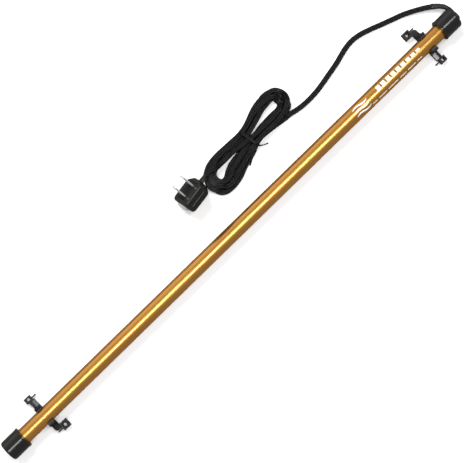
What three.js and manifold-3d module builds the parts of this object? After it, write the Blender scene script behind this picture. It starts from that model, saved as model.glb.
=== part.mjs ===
// Tubular rod heater: a sealed tube with a wound element inside, two clip-on brackets that slide along the
// tube and turn about it, and a flat two-core lead tied in a hank, with a two-blade plug.
// Millimetres, +Z up. The tube lies along X with the cord at +X. The origin is midway between the two end
// faces, on the surface that the brackets stand on.

import * as THREE from 'three';
import { mergeVertices } from 'three/addons/utils/BufferGeometryUtils.js';
import Module from 'manifold-3d';

const wasm = await Module();
wasm.setup();

// ---- driving dimensions ----
const clearance = 0.3;            // between pieces that touch on the real object

const rodLength = 610;            // over the two end caps
const tubeRadius = 8;
const tubeWall = 0.9;

const capWall = 2.45;
const capLength = 21;
const capFloor = 3;               // thickness of the cap's end wall
const capEdgeRadius = 2.4;        // rounding of the cap's outer edge
const capLipRise = 0.4;
const capLipLength = 1.4;
const cableHoleRadius = 3.2;

const sealLength = 14;
const ringSection = 0.75;         // radius of an O-ring's section
const wireRadius = 0.9;
const wireSpread = 2.2;           // each lead wire's distance from the tube's axis

const closedEndCold = 62;         // length without an element at the closed end, and at the cord end
const cordEndCold = 93;
const coreRoom = 4.1;             // from the core to the tube's bore
const coreBore = 1.3;
const coilWireRadius = 0.45;
const coilTurns = 20;
const sleeveWall = 0.6;
const ferruleLength = 7;
const ferruleWall = 0.9;
const spacerWidth = 8;
const spacerCount = 3;

const fuseRadius = 1.9;
const fuseLength = 11;
const fuseStubRadius = 0.5;
const fuseStubLength = 8;
const crimpWall = 0.5;
const crimpLength = 10;

const bracketWidth = 6.6;         // along the tube
const linerWall = 1;
const jawWall = 2;
const jawOpening = 125;           // degrees left open at the top of the jaw
const footHeight = 3.2;
const bossHeight = 5.5;
const screwRadius = 1.7;
const padThickness = 1;
const jawLift = 0.4;              // the jaw's lowest point above the surface
const cordEndBracketInset = 38;   // each bracket's middle from its end of the rod
const closedEndBracketInset = 49;

const cordWidth = 5.4;
const cordThickness = 2.8;
const hankLayers = 4;
const elbowDiscRadius = 5.2;
const elbowDiscEnd = 3.6;         // beyond the cap's end face
const cordLift = 0.2;             // under a cord that lies on the surface
const tieWidth = 2.6;
const tieThickness = 1.2;

const plugLength = 29;
const plugWidth = 26;
const plugDepth = 14.5;
const plugBevel = 1.6;
const plugCorner = 4;
const plugShoulder = 5;           // length over which the plug narrows to the cord
const plugNeck = 9;
const plugLift = 0.4;             // the plug's lowest edge above the surface
const plugCordEnd = new THREE.Vector2(-297.07, 62.42);  // middle of the blades' face, at the cord's end of it
const reliefBend = [-291.85, 58.13, 11.14];             // along the plug's strain relief, and where it lets
const reliefEnd = [-288.45, 59.03, 8.93];               // the cord go
const plugHeading = THREE.MathUtils.degToRad(8.8);      // its long side's turn from the tube's direction
const bladeElevation = THREE.MathUtils.degToRad(36);
const bladeSpacing = 12.7;
const bladeLength = 16;
const bladeWidth = 6.35;
const bladeThickness = 1.5;
const bladeHoleRadius = 1.6;
const bladeTip = 1.6;             // cut off each corner of a blade's end
const bladeRoot = 6;              // length of a blade inside the plug
const facePlateThickness = 2;
const facePlateMargins = [2.6, 3];      // round the blades' slots: beyond their faces and beyond their edges
const thumbPad = { rise: 2.6, halfWidth: 8.5, halfDepth: 5 };

// ---- places worked out from them ----
const tubeBore = tubeRadius - tubeWall;
const capRadius = tubeRadius + clearance + capWall;
const capLipRadius = capRadius + capLipRise;
const tubeEnd = rodLength / 2 - capFloor - clearance;
const sealRadius = tubeBore - clearance;
const coreRadius = tubeBore - coreRoom;
const coilRadius = coreRadius + clearance + coilWireRadius;
const sleeveInner = coilRadius + coilWireRadius + clearance;
const sleeveOuter = sleeveInner + sleeveWall;
const jawInner = tubeRadius + 2 * clearance + linerWall;
const jawOuter = jawInner + jawWall;
const axisHeight = jawOuter + jawLift;                  // tube axis above the surface
const coreLength = rodLength - closedEndCold - cordEndCold;
const coreStart = -rodLength / 2 + closedEndCold;
const coreEnd = coreStart + coreLength;
const hankHeight = hankLayers * cordThickness + cordLift;
const lying = cordThickness / 2 + cordLift;             // height of the middle of a cord on the surface

const plateLong = (bladeSpacing + bladeThickness) / 2 + clearance + facePlateMargins[0];   // half sizes
const plateWide = bladeWidth / 2 + clearance + facePlateMargins[1];

// ---- the object's finishes ----
const finishes = {
  goldTube: { color: 0xc08a32, roughness: 0.32, metalness: 1 },
  blackPlastic: { color: 0x17181a, roughness: 0.42, metalness: 0 },
  blackCable: { color: 0x141414, roughness: 0.5, metalness: 0 },
  greyPad: { color: 0x9a9a9a, roughness: 0.7, metalness: 0 },
  darkLiner: { color: 0x3a3b3d, roughness: 0.6, metalness: 0 },
  seal: { color: 0x8a3a24, roughness: 0.8, metalness: 0 },
  nickel: { color: 0xb9bbbd, roughness: 0.25, metalness: 1 },
  glassFibre: { color: 0xd8d2bf, roughness: 0.9, metalness: 0 },
  resistanceWire: { color: 0x6f6a62, roughness: 0.5, metalness: 1 },
  copper: { color: 0xb87333, roughness: 0.35, metalness: 1 },
};

// ---- helpers ----
function piece(name, geometry, finish, parent) {
  const mesh = new THREE.Mesh(geometry, new THREE.MeshStandardMaterial(finishes[finish]));
  mesh.name = name;
  parent.add(mesh);
  return mesh;
}

function solid(geometry) {
  const bare = geometry.index ? geometry.toNonIndexed() : geometry.clone();
  bare.deleteAttribute('normal');
  bare.deleteAttribute('uv');
  const merged = mergeVertices(bare, 1e-4);
  return new wasm.Manifold(new wasm.Mesh({
    numProp: 3,
    vertProperties: new Float32Array(merged.attributes.position.array),
    triVerts: new Uint32Array(merged.index.array),
  }));
}

function geometryOf(manifold) {
  const mesh = manifold.getMesh();
  const geometry = new THREE.BufferGeometry();
  geometry.setAttribute('position', new THREE.BufferAttribute(new Float32Array(mesh.vertProperties), 3));
  geometry.setIndex(new THREE.BufferAttribute(new Uint32Array(mesh.triVerts), 1));
  geometry.computeVertexNormals();
  return geometry;
}

function joined(...geometries) {
  return geometryOf(geometries.map(solid).reduce((whole, next) => whole.add(next)));
}

function cut(geometry, ...tools) {
  return geometryOf(tools.map(solid).reduce((rest, tool) => rest.subtract(tool), solid(geometry)));
}

// A turned piece along X. Each point is [distance along X, radius]; the outline runs towards +X on its outside.
function turned(outline, segments = 32) {
  const points = outline.map(([x, radius]) => new THREE.Vector2(radius, x));
  return new THREE.LatheGeometry(points, segments).rotateZ(-Math.PI / 2);
}

function ring(x0, x1, inner, outer, segments) {
  return turned([[x0, inner], [x0, outer], [x1, outer], [x1, inner], [x0, inner]], segments);
}

function rodOf(x0, x1, radius, segments) {
  return turned([[x0, 0], [x0, radius], [x1, radius], [x1, 0]], segments);
}

function block(x0, x1, y0, y1, z0, z1) {
  const box = new THREE.BoxGeometry(x1 - x0, y1 - y0, z1 - z0);
  return box.translate((x0 + x1) / 2, (y0 + y1) / 2, (z0 + z1) / 2);
}

function upright(radius, z0, z1, x, y, segments = 20) {
  const bar = new THREE.CylinderGeometry(radius, radius, z1 - z0, segments);
  return bar.rotateX(Math.PI / 2).translate(x, y, (z0 + z1) / 2);
}

function ovalSection(thickness, width, sides) {
  const points = [];
  for (let side = 0; side < sides; side += 1) {
    const angle = (side + 0.5) * 2 * Math.PI / sides;
    points.push(new THREE.Vector2(Math.cos(angle) * thickness / 2, Math.sin(angle) * width / 2));
  }
  return new THREE.Shape(points);
}

function sweep(section, route, steps) {
  const curve = new THREE.CatmullRomCurve3(route.map((point) => new THREE.Vector3(...point)));
  return new THREE.ExtrudeGeometry(section, { steps, extrudePath: curve, bevelEnabled: false });
}

// ---- the tube, its caps and seals ----
function capOutline(holeRadius) {
  const end = rodLength / 2;
  const mouth = end - capLength;
  const outline = [
    [end - capFloor, holeRadius],
    [end - capFloor, tubeRadius + clearance],
    [mouth, tubeRadius + clearance],
    [mouth, capLipRadius],
    [mouth + capLipLength, capLipRadius],
    [mouth + capLipLength + 0.4, capRadius],
  ];
  const arcSteps = 4;
  for (let step = 0; step <= arcSteps; step += 1) {
    const angle = step / arcSteps * Math.PI / 2;
    const x = end - capEdgeRadius + Math.sin(angle) * capEdgeRadius;
    outline.push([x, capRadius - capEdgeRadius + Math.cos(angle) * capEdgeRadius]);
  }
  outline.push([end, holeRadius]);
  if (holeRadius > 0) outline.push([end - capFloor, holeRadius]);
  return outline;
}

function sealOutline(grooveX) {
  const grooveRadius = sealRadius - 2 * ringSection - clearance;
  const grooveHalf = ringSection + clearance;
  return [
    [tubeEnd - sealLength, 0],
    [tubeEnd - sealLength, sealRadius],
    [grooveX - grooveHalf, sealRadius],
    [grooveX - grooveHalf, grooveRadius],
    [grooveX + grooveHalf, grooveRadius],
    [grooveX + grooveHalf, sealRadius],
    [tubeEnd - clearance, sealRadius],
    [tubeEnd - clearance, 0],
  ];
}

function oRing(grooveX) {
  const outline = [];
  const sides = 8;
  for (let side = 0; side <= sides; side += 1) {
    const angle = -Math.PI / 2 - side / sides * 2 * Math.PI;
    const centre = sealRadius - ringSection;
    outline.push([grooveX + Math.cos(angle) * ringSection, centre + Math.sin(angle) * ringSection]);
  }
  return turned(outline, 28);
}

function addTube(rod) {
  piece('outer_tube', ring(-tubeEnd, tubeEnd, tubeBore, tubeRadius, 40), 'goldTube', rod);
  piece('cord_end_cap', turned(capOutline(cableHoleRadius), 36), 'blackPlastic', rod);
  const closedCap = piece('closed_end_cap', turned(capOutline(0), 36), 'blackPlastic', rod);
  closedCap.rotation.z = Math.PI;

  const grooveX = tubeEnd - sealLength / 2;
  const wireHoles = [wireSpread, -wireSpread].map((y) => {
    const hole = rodOf(tubeEnd - sealLength - 1, tubeEnd + 1, wireRadius + clearance, 12);
    return hole.translate(0, y, 0);
  });
  piece('cord_end_seal', cut(turned(sealOutline(grooveX), 28), ...wireHoles), 'seal', rod);
  piece('cord_end_o_ring', oRing(grooveX), 'blackCable', rod);
  const closedSeal = piece('closed_end_seal', turned(sealOutline(grooveX), 28), 'seal', rod);
  closedSeal.rotation.z = Math.PI;
  const closedRing = piece('closed_end_o_ring', oRing(grooveX), 'blackCable', rod);
  closedRing.rotation.z = Math.PI;
}

// ---- the element and its wiring, all inside the tube ----
function windings() {
  const start = coreStart + ferruleLength + clearance;
  const length = coreLength - 2 * (ferruleLength + clearance);
  // enough steps for the straight parts between them to clear the core
  const stepsPerTurn = Math.ceil(Math.PI / Math.acos(1 - clearance / coilRadius));
  const route = [];
  for (let step = 0; step <= coilTurns * stepsPerTurn; step += 1) {
    const turn = step / stepsPerTurn;
    const angle = turn * 2 * Math.PI;
    route.push([start + turn / coilTurns * length, Math.cos(angle) * coilRadius, Math.sin(angle) * coilRadius]);
  }
  return sweep(ovalSection(2 * coilWireRadius, 2 * coilWireRadius, 5), route, coilTurns * stepsPerTurn);
}

function ferrule(x0, x1, closedSide) {
  const inner = coreRadius + clearance;
  const outer = inner + ferruleWall;
  const hole = wireRadius + clearance;
  const shell = closedSide > 0
    ? [[x1, hole], [x1 - ferruleWall, hole], [x1 - ferruleWall, inner], [x0, inner], [x0, outer], [x1, outer]]
    : [[x0, hole], [x0, outer], [x1, outer], [x1, inner], [x0 + ferruleWall, inner], [x0 + ferruleWall, hole]];
  return turned([...shell, shell[0]], 20);
}

function addElement(rod) {
  const wall = ferruleWall + clearance;
  piece('element_core', ring(coreStart, coreEnd, coreBore, coreRadius, 24), 'glassFibre', rod);
  piece('heating_coil', windings(), 'resistanceWire', rod);
  piece('cord_end_ferrule', ferrule(coreEnd - ferruleLength, coreEnd + wall, 1), 'nickel', rod);
  piece('closed_end_ferrule', ferrule(coreStart - wall, coreStart + ferruleLength, -1), 'nickel', rod);
  const sleeveStart = coreStart - wall;
  const sleeveLength = coreLength + 2 * wall;
  piece('insulating_sleeve', ring(sleeveStart, sleeveStart + sleeveLength, sleeveInner, sleeveOuter, 28),
    'glassFibre', rod);
  for (let index = 0; index < spacerCount; index += 1) {
    const centre = sleeveStart + sleeveLength * (index + 0.5) / spacerCount;
    const ends = [centre - spacerWidth / 2, centre + spacerWidth / 2];
    piece(`spacer_${index + 1}`, ring(...ends, sleeveOuter + clearance, sealRadius, 28), 'seal', rod);
  }
}

function addWiring(rod) {
  const wireEnd = tubeEnd - clearance;
  const crimpEnd = tubeEnd - sealLength - 14;
  const crimpStart = crimpEnd - crimpLength;
  const crimpInner = wireRadius + clearance;
  const crimpMiddle = (crimpStart + crimpEnd) / 2;
  const fuseEnd = crimpStart - 5;
  const fuseStart = fuseEnd - fuseLength;
  ['live', 'neutral'].forEach((name, index) => {
    const y = index === 0 ? wireSpread : -wireSpread;
    const wire = rodOf(crimpMiddle + clearance, wireEnd, wireRadius, 10).translate(0, y, 0);
    piece(`${name}_wire`, wire, 'copper', rod);
    const barrel = ring(crimpStart, crimpEnd, crimpInner, crimpInner + crimpWall, 12).translate(0, y, 0);
    piece(`${name}_crimp`, barrel, 'nickel', rod);
  });
  const fuse = turned([
    [fuseStart - fuseStubLength, 0], [fuseStart - fuseStubLength, fuseStubRadius], [fuseStart, fuseStubRadius],
    [fuseStart, fuseRadius], [fuseEnd, fuseRadius], [fuseEnd, fuseStubRadius],
    [crimpMiddle - clearance, fuseStubRadius], [crimpMiddle - clearance, 0],
  ], 16).translate(0, wireSpread, 0);
  piece('thermal_fuse', fuse, 'nickel', rod);
  const fuseSleeveInner = fuseRadius + clearance;
  const fuseSleeve = ring(fuseStart - 2, fuseEnd + 2, fuseSleeveInner, fuseSleeveInner + 0.4, 16);
  piece('fuse_sleeve', fuseSleeve.translate(0, wireSpread + 0.1, 0), 'glassFibre', rod);
  const straight = rodOf(coreStart - ferruleWall, coreEnd + 4, wireRadius - 0.1, 10);
  const bend = sweep(ovalSection(1.6, 1.6, 10), [
    [coreEnd + 3.5, 0, 0], [coreEnd + 6, 0, 0], [coreEnd + 12, -wireSpread, 0], [coreEnd + 16, -wireSpread, 0],
    [crimpMiddle - clearance, -wireSpread, 0],
  ], 16);
  piece('return_wire', joined(straight, bend), 'copper', rod);
}

// ---- a bracket, in its own frame: +X towards the near end of the tube, the tube's axis on X ----
function jawShape(inner, outer) {
  const open = THREE.MathUtils.degToRad(jawOpening / 2);
  const shape = new THREE.Shape();
  shape.absarc(0, 0, outer, Math.PI / 2 + open, Math.PI / 2 - open + 2 * Math.PI, false);
  shape.absarc(0, 0, inner, Math.PI / 2 - open, Math.PI / 2 + open - 2 * Math.PI, true);
  return shape;
}

// A profile drawn in Y and Z, given a width along X.
function alongTube(shape, x0, x1, curveSegments = 18) {
  const geometry = new THREE.ExtrudeGeometry(shape, { depth: x1 - x0, bevelEnabled: false, curveSegments });
  return geometry.rotateX(Math.PI / 2).rotateZ(Math.PI / 2).translate(x0, 0, 0);
}

// The bracket's base and the two curved gussets that carry the jaw, out to halfWidth on each side.
function saddleBase(halfWidth) {
  const top = footHeight - axisHeight;
  const gussetTop = { y: jawOuter - 0.5, z: -2.5 };
  const shape = new THREE.Shape();
  shape.moveTo(-halfWidth, -axisHeight);
  shape.lineTo(halfWidth, -axisHeight);
  shape.lineTo(halfWidth, top);
  shape.lineTo(gussetReach, top);
  shape.quadraticCurveTo(jawOuter, top, gussetTop.y, gussetTop.z);
  shape.lineTo(-gussetTop.y, gussetTop.z);
  shape.quadraticCurveTo(-jawOuter, top, -gussetReach, top);
  shape.lineTo(-halfWidth, top);
  return shape;
}

function plate(points, z0, z1) {
  const shape = new THREE.Shape(points.map(([x, y]) => new THREE.Vector2(x, y)));
  const geometry = new THREE.ExtrudeGeometry(shape, { depth: z1 - z0, bevelEnabled: false });
  return geometry.translate(0, 0, z0);
}

const half = bracketWidth / 2;
const gussetReach = jawOuter + 3.4;
const armReach = jawOuter + 3.9;  // where an arm of the bracket becomes its foot
const armEnd = jawOuter + 8;
const offsetBoss = { x: [-half - 8.5, -half], y: [jawOuter + 3.7, jawOuter + 12.2] };    // beside its arm's end
const inlineBoss = { x: [half - 5.5, half + 1.9], y: [-jawOuter - 13.7, -jawOuter - 7.6] };  // on its arm's end
const recessRim = 1.4;            // wall left round the recess in a boss's top
const recessDepth = 1.2;

function bossParts({ x, y }) {
  const floor = -axisHeight;
  const top = floor + bossHeight;
  const rim = recessRim;
  return {
    body: block(x[0], x[1], y[0], y[1], floor, top),
    recess: block(x[0] + rim, x[1] - rim, y[0] + rim, y[1] - rim, top - recessDepth, top + 1),
    hole: upright(screwRadius, floor - 1, top + 1, (x[0] + x[1]) / 2, (y[0] + y[1]) / 2),
  };
}

function saddle() {
  const floor = -axisHeight;
  const foot = floor + footHeight;
  const reach = armReach - 0.5;
  const offset = bossParts(offsetBoss);
  const inline = bossParts(inlineBoss);
  const roundedArm = plate([
    [-half - 1, reach], [half, reach], [half, armEnd - 2.6], [half - 0.8, armEnd - 1], [half - 2.4, armEnd],
    [-half - 1, armEnd],
  ], floor, foot);
  const straightArm = plate([
    [-half, inlineBoss.y[1] - 0.5], [half, inlineBoss.y[1] - 0.5], [half, -reach], [-half, -reach],
  ], floor, foot);
  const rib = block(0.6, half, inlineBoss.y[1] - 0.5, -jawOuter, floor + 1, foot + 1.4);
  const peg = block(-half - 1, half - 1, armEnd + clearance, armEnd + 1.8, floor + 0.5, foot - 0.4);
  const spike = block(-half - 3.8, inlineBoss.x[0] + 1, inlineBoss.y[0] + 3, inlineBoss.y[0] + 4.4,
    floor + 0.5, foot - 0.4);
  const body = joined(
    alongTube(saddleBase(armReach), -half, half, 6), alongTube(jawShape(jawInner, jawOuter), -half, half),
    roundedArm, straightArm, rib, peg, spike, offset.body, inline.body,
  );
  const tubeRoom = rodOf(-half - 1, half + 1, jawInner, 40);
  return cut(body, tubeRoom, offset.recess, inline.recess, offset.hole, inline.hole);
}

// A soft pad lying on one arm, from the jaw out to endY, between x0 and x1 along the tube.
function armPad(endY, x0, x1) {
  const beyond = armEnd + 10;
  const top = alongTube(saddleBase(beyond), x0, x1, 6).translate(0, 0, padThickness + clearance);
  const arm = alongTube(saddleBase(beyond + 1), x0 - 1, x1 + 1, 6).translate(0, 0, clearance);
  const side = Math.sign(endY);
  const near = side * (jawOuter + clearance);
  const window = block(x0 - 1, x1 + 1, Math.min(near, endY), Math.max(near, endY), -axisHeight, -3);
  return geometryOf(solid(top).subtract(solid(arm)).intersect(solid(window)));
}

function addBracket(name, x, turn, parent) {
  const bracket = new THREE.Group();
  bracket.position.set(x, 0, axisHeight);
  bracket.rotation.z = turn;
  parent.add(bracket);
  const linerInner = tubeRadius + clearance;
  const liner = alongTube(jawShape(linerInner, linerInner + linerWall), -half, half);
  piece(`${name}_liner`, liner, 'darkLiner', bracket);
  piece(name, saddle(), 'blackPlastic', bracket);
  piece(`${name}_pad_1`, armPad(armEnd - 1.6, -half + 0.4, half - 1.6), 'greyPad', bracket);
  piece(`${name}_pad_2`, armPad(inlineBoss.y[1] + clearance, -half, clearance), 'greyPad', bracket);
}

// ---- the cord and the plug on it, in a frame whose X starts at the face of the cord end's cap ----
const elbowEnd = [-6.6, 22.2, 6];
const elbowRoute = [
  [2.2, -1, axisHeight - 2.4], [2.2, 5.5, axisHeight - 2.7], [1.9, 10, 8.8], [0.4, 14.6, 8], [-2.6, 18.6, 7],
  elbowEnd,
];
const leadRoute = [
  [elbowEnd[0] - clearance, elbowEnd[1] + clearance, elbowEnd[2] - 0.1], [-13.6, 27.2, 4.5],
  [-22.3, 32.2, lying + 1.3], [-33, 37.4, lying + 0.3], [-44.8, 41.6, lying], [-55.8, 45.4, lying],
  [-68.4, 50, lying], [-80.6, 53.4, lying], [-91.6, 54.2, lying], [-103, 52.2, lying], [-115, 48.9, lying],
  [-131.5, 45.6, lying], [-148.5, 42.6, lying], [-164.5, 41.8, lying], [-178, 43.2, lying],
  [-188.2, 45.3, lying],
];
const tailRoute = [
  [-285.8, 60.1, 7.6], [-286.5, 59.8, 8], [reliefEnd[0] + 0.65, reliefEnd[1] + 0.17, reliefEnd[2] - 0.23],
];

// The hank's outer edge, from where the lead joins it, round the near loop, the waist and the far loop.
const hankEdge = [
  [-188.6, 48.2], [-180.5, 49.2], [-174, 53.5], [-171.6, 61.5], [-177.8, 72.6], [-190.5, 77.4],
  [-204.5, 75.4], [-218.3, 70.6], [-231.5, 67], [-248, 66.4], [-262, 66.3], [-276.6, 66], [-283.2, 63.6],
  [-284.8, 57.6], [-290.6, 54], [-293.4, 47.5], [-292.4, 38.5], [-283.4, 31.4], [-270.8, 30], [-257, 34.6],
  [-243, 42.6], [-225, 46.2], [-207.3, 46.2], [-188.8, 42.4],
];
const waist = new THREE.Vector2(-232, 56);
const hankHeading = THREE.MathUtils.degToRad(10);
const waistHalfWidth = 9.9;

// Turns a shape drawn about the hank's waist to lie across the hank.
function acrossHank(geometry) {
  return geometry.rotateZ(hankHeading).translate(waist.x, waist.y, 0);
}

function hank() {
  const shape = new THREE.Shape();
  shape.moveTo(...hankEdge[0]);
  shape.splineThru(hankEdge.slice(1).map(([x, y]) => new THREE.Vector2(x, y)));
  const whole = new THREE.ExtrudeGeometry(shape, {
    depth: hankHeight, bevelEnabled: false, curveSegments: 2,
  });
  const margin = clearance + tieThickness;
  const slab = block(-tieWidth / 2 - clearance, tieWidth / 2 + clearance, -20, 20, -1, hankHeight + 1);
  const core = block(-tieWidth / 2 - 2, tieWidth / 2 + 2, -waistHalfWidth, waistHalfWidth, margin,
    hankHeight - margin);
  return cut(whole, acrossHank(cut(slab, core)));
}

function tie() {
  const inside = waistHalfWidth + clearance;
  const band = block(-tieWidth / 2, tieWidth / 2, -inside - tieThickness, inside + tieThickness, 0, hankHeight);
  const room = block(-tieWidth, tieWidth, -inside, inside, tieThickness, hankHeight - tieThickness);
  const wire = ovalSection(tieThickness + 0.1, tieThickness + 0.1, 6);
  const side = -inside - tieThickness / 2;
  const tailOne = sweep(wire, [[0, side, 4], [2.4, side - 2.2, 3], [8.4, side - 7.6, 2]], 6);
  const tailTwo = sweep(wire, [
    [0, side - 0.2, 2.4], [-4, side - 1.8, 1.6], [-12, side - 2.6, 1.2], [-20, side - 6, 1.2],
  ], 8);
  return acrossHank(joined(cut(band, room), tailOne, tailTwo));
}

function elbow() {
  const stub = rodOf(-capFloor, 2, cableHoleRadius - clearance, 20);
  const disc = rodOf(clearance, elbowDiscEnd, elbowDiscRadius, 24);
  const arm = sweep(ovalSection(cordThickness + 0.6, cordWidth + 0.8, 10), elbowRoute, 14);
  return joined(stub.translate(0, 0, axisHeight), disc.translate(0, 0, axisHeight - 1.5), arm);
}

function addCord(parent) {
  const cordSection = ovalSection(cordThickness, cordWidth, 8);
  piece('cord_elbow', elbow(), 'blackPlastic', parent);
  piece('cord_lead', sweep(cordSection, leadRoute, 60), 'blackCable', parent);
  piece('cord_hank', hank(), 'blackCable', parent);
  piece('cord_tail', sweep(cordSection, tailRoute, 4), 'blackCable', parent);
  piece('hank_tie', tie(), 'blackPlastic', parent);
}

// ---- the plug, in its own frame: +X to its nose, +Z out along the blades, origin on its face ----
function plugOutline() {
  const long = plugLength / 2;
  const wide = plugWidth / 2;
  const shape = new THREE.Shape();
  shape.moveTo(-long, -plugNeck / 2);
  shape.lineTo(-long + plugShoulder, -wide);
  shape.lineTo(long - plugCorner, -wide);
  shape.quadraticCurveTo(long, -wide, long, -wide + plugCorner);
  shape.lineTo(long, wide - plugCorner);
  shape.quadraticCurveTo(long, wide, long - plugCorner, wide);
  shape.lineTo(-long + plugShoulder, wide);
  shape.lineTo(-long, plugNeck / 2);
  return shape;
}

function plugShell() {
  const shell = new THREE.ExtrudeGeometry(plugOutline(), {
    depth: plugDepth - 2 * plugBevel, bevelSize: plugBevel, bevelOffset: -plugBevel,
    bevelThickness: plugBevel, bevelSegments: 2, curveSegments: 4,
  }).translate(0, 0, plugBevel - plugDepth);
  const pocket = block(-plateLong - clearance, plateLong + clearance, -plateWide - clearance,
    plateWide + clearance, -bladeRoot - 2, 1);
  return cut(shell, pocket);
}

function blade() {
  const wide = bladeWidth / 2;
  const outline = plate([
    [-wide, -bladeRoot], [wide, -bladeRoot], [wide, bladeLength - bladeTip], [wide - bladeTip, bladeLength],
    [-wide + bladeTip, bladeLength], [-wide, bladeLength - bladeTip],
  ], -bladeThickness / 2, bladeThickness / 2);
  const hole = upright(bladeHoleRadius, -bladeThickness, bladeThickness, 0, bladeLength - 4.5, 14);
  return cut(outline, hole).rotateX(Math.PI / 2).rotateZ(Math.PI / 2);
}

function addPlug(parent) {
  const plug = new THREE.Group();
  const nose = new THREE.Vector3(-Math.cos(plugHeading), -Math.sin(plugHeading), 0);
  const level = new THREE.Vector3(-Math.sin(plugHeading), Math.cos(plugHeading), 0);
  const out = level.multiplyScalar(Math.cos(bladeElevation)).setZ(Math.sin(bladeElevation));
  const across = new THREE.Vector3().crossVectors(out, nose);
  plug.setRotationFromMatrix(new THREE.Matrix4().makeBasis(nose, across, out));
  const restHeight = plugWidth / 2 * across.z + (plugDepth - plugBevel) * out.z + plugLift;
  plug.position.set(plugCordEnd.x, plugCordEnd.y, restHeight).addScaledVector(nose, plugLength / 2);
  parent.add(plug);

  piece('plug_body', plugShell(), 'blackPlastic', plug);
  const slots = [-1, 1].map((side) => {
    const x = side * bladeSpacing / 2;
    const halfThickness = bladeThickness / 2 + clearance;
    const halfWidth = bladeWidth / 2 + clearance;
    return block(x - halfThickness, x + halfThickness, -halfWidth, halfWidth, -bladeRoot, 1);
  });
  const facePlate = block(-plateLong, plateLong, -plateWide, plateWide, -facePlateThickness, 0);
  piece('plug_face_plate', cut(facePlate, ...slots), 'blackPlastic', plug);
  [-1, 1].forEach((side, index) => {
    const prong = piece(`plug_blade_${index + 1}`, blade(), 'nickel', plug);
    prong.position.x = side * bladeSpacing / 2;
  });
  const pad = new THREE.SphereGeometry(1, 16, 8)
    .scale(thumbPad.rise, thumbPad.halfWidth, thumbPad.halfDepth)
    .translate(plugLength / 2, 0, -plugDepth / 2);
  const proud = block(plugLength / 2 + clearance, plugLength, -plugWidth, plugWidth, -plugDepth, 0);
  const nosePad = geometryOf(solid(pad).intersect(solid(proud)));
  piece('plug_thumb_pad', nosePad, 'greyPad', plug);
  plug.updateMatrix();
  const inverse = plug.matrix.clone().invert();
  const [bend, end] = [reliefBend, reliefEnd].map((point) => new THREE.Vector3(...point).applyMatrix4(inverse));
  const back = -plugLength / 2;
  const relief = sweep(ovalSection(cordThickness + 1.6, cordWidth + 1, 10), [
    [back - clearance, -2, -8], [back - 1.5, -2, -8], bend.toArray(), end.toArray(),
  ], 4);
  piece('plug_relief', relief, 'blackPlastic', plug);
}

// ---- the whole object ----
const heater = new THREE.Group();
const rod = new THREE.Group();
rod.position.z = axisHeight;
heater.add(rod);
addTube(rod);
addElement(rod);
addWiring(rod);
addBracket('cord_end_bracket', rodLength / 2 - cordEndBracketInset, 0, heater);
addBracket('closed_end_bracket', closedEndBracketInset - rodLength / 2, Math.PI, heater);
const lead = new THREE.Group();
lead.position.x = rodLength / 2;
heater.add(lead);
addCord(lead);
addPlug(lead);

export default heater;
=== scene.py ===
import math

import bmesh
import bpy
import numpy as np
from mathutils import Matrix, Vector


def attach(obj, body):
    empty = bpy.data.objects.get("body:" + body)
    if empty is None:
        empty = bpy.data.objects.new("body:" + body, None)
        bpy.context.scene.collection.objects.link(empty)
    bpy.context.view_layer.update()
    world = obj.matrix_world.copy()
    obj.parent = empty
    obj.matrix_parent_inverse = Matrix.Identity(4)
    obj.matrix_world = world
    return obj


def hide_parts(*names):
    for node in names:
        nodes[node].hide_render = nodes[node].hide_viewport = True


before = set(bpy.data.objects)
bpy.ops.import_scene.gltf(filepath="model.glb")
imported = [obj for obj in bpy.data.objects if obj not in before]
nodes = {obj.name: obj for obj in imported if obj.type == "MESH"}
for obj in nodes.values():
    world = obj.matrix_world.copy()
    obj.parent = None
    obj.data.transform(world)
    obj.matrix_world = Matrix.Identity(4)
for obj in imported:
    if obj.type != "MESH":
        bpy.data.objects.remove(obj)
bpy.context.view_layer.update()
print("frame loaded:", len(nodes), "CAD nodes")

mm = 0.001
axisHeight = 0.012      # the tube's axis above the floor

# Camera
cameraSetup = {
    "place": (-0.116, 0.0015, 1.39),
    "target": (-0.002, 0.0015, 0.0),
    "topOfPicture": (0.699, 0.715, 0.0),    # the tube runs from the lower left to the upper right
    "lens": 110.05,
    "clip": (0.01, 50),
}


def makeCamera(setup):
    data = bpy.data.cameras.new("viewCamera")
    data.lens = setup["lens"]
    data.clip_start, data.clip_end = setup["clip"]
    camera = bpy.data.objects.new("viewCamera", data)
    bpy.context.scene.collection.objects.link(camera)
    place = Vector(setup["place"])
    look = (Vector(setup["target"]) - place).normalized()
    right = look.cross(Vector(setup["topOfPicture"])).normalized()
    up = right.cross(look)
    turn = Matrix((right, up, -look)).transposed()
    camera.matrix_world = Matrix.Translation(place) @ turn.to_4x4()
    bpy.context.scene.camera = camera
    bpy.context.scene.view_settings.view_transform = "Standard"


makeCamera(cameraSetup)
print("camera ready")

# Shader effects that several materials use
effectSetup = {
    "blotchScale": 0.12,        # of the grain's own scale
    "pitRoughness": 0.6,
    "pitSharpness": 2.2,
    "patchiness": 1.5,          # how much of a rubbed edge shows
    "threadTurn": 0.7,          # the two sets of threads lean this far each way
    "threadWobble": 0.6,
}


def startGroup(name, inputs, outputs):
    tree = bpy.data.node_groups.new(name, "ShaderNodeTree")
    for label, value in inputs.items():
        kind = "NodeSocketFloat" if isinstance(value, (int, float)) else "NodeSocketColor"
        socket = tree.interface.new_socket(label, in_out="INPUT", socket_type=kind)
        socket.default_value = value
    for label, kind in outputs.items():
        tree.interface.new_socket(label, in_out="OUTPUT", socket_type=kind)
    return tree, tree.nodes.new("NodeGroupInput"), tree.nodes.new("NodeGroupOutput")


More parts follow.
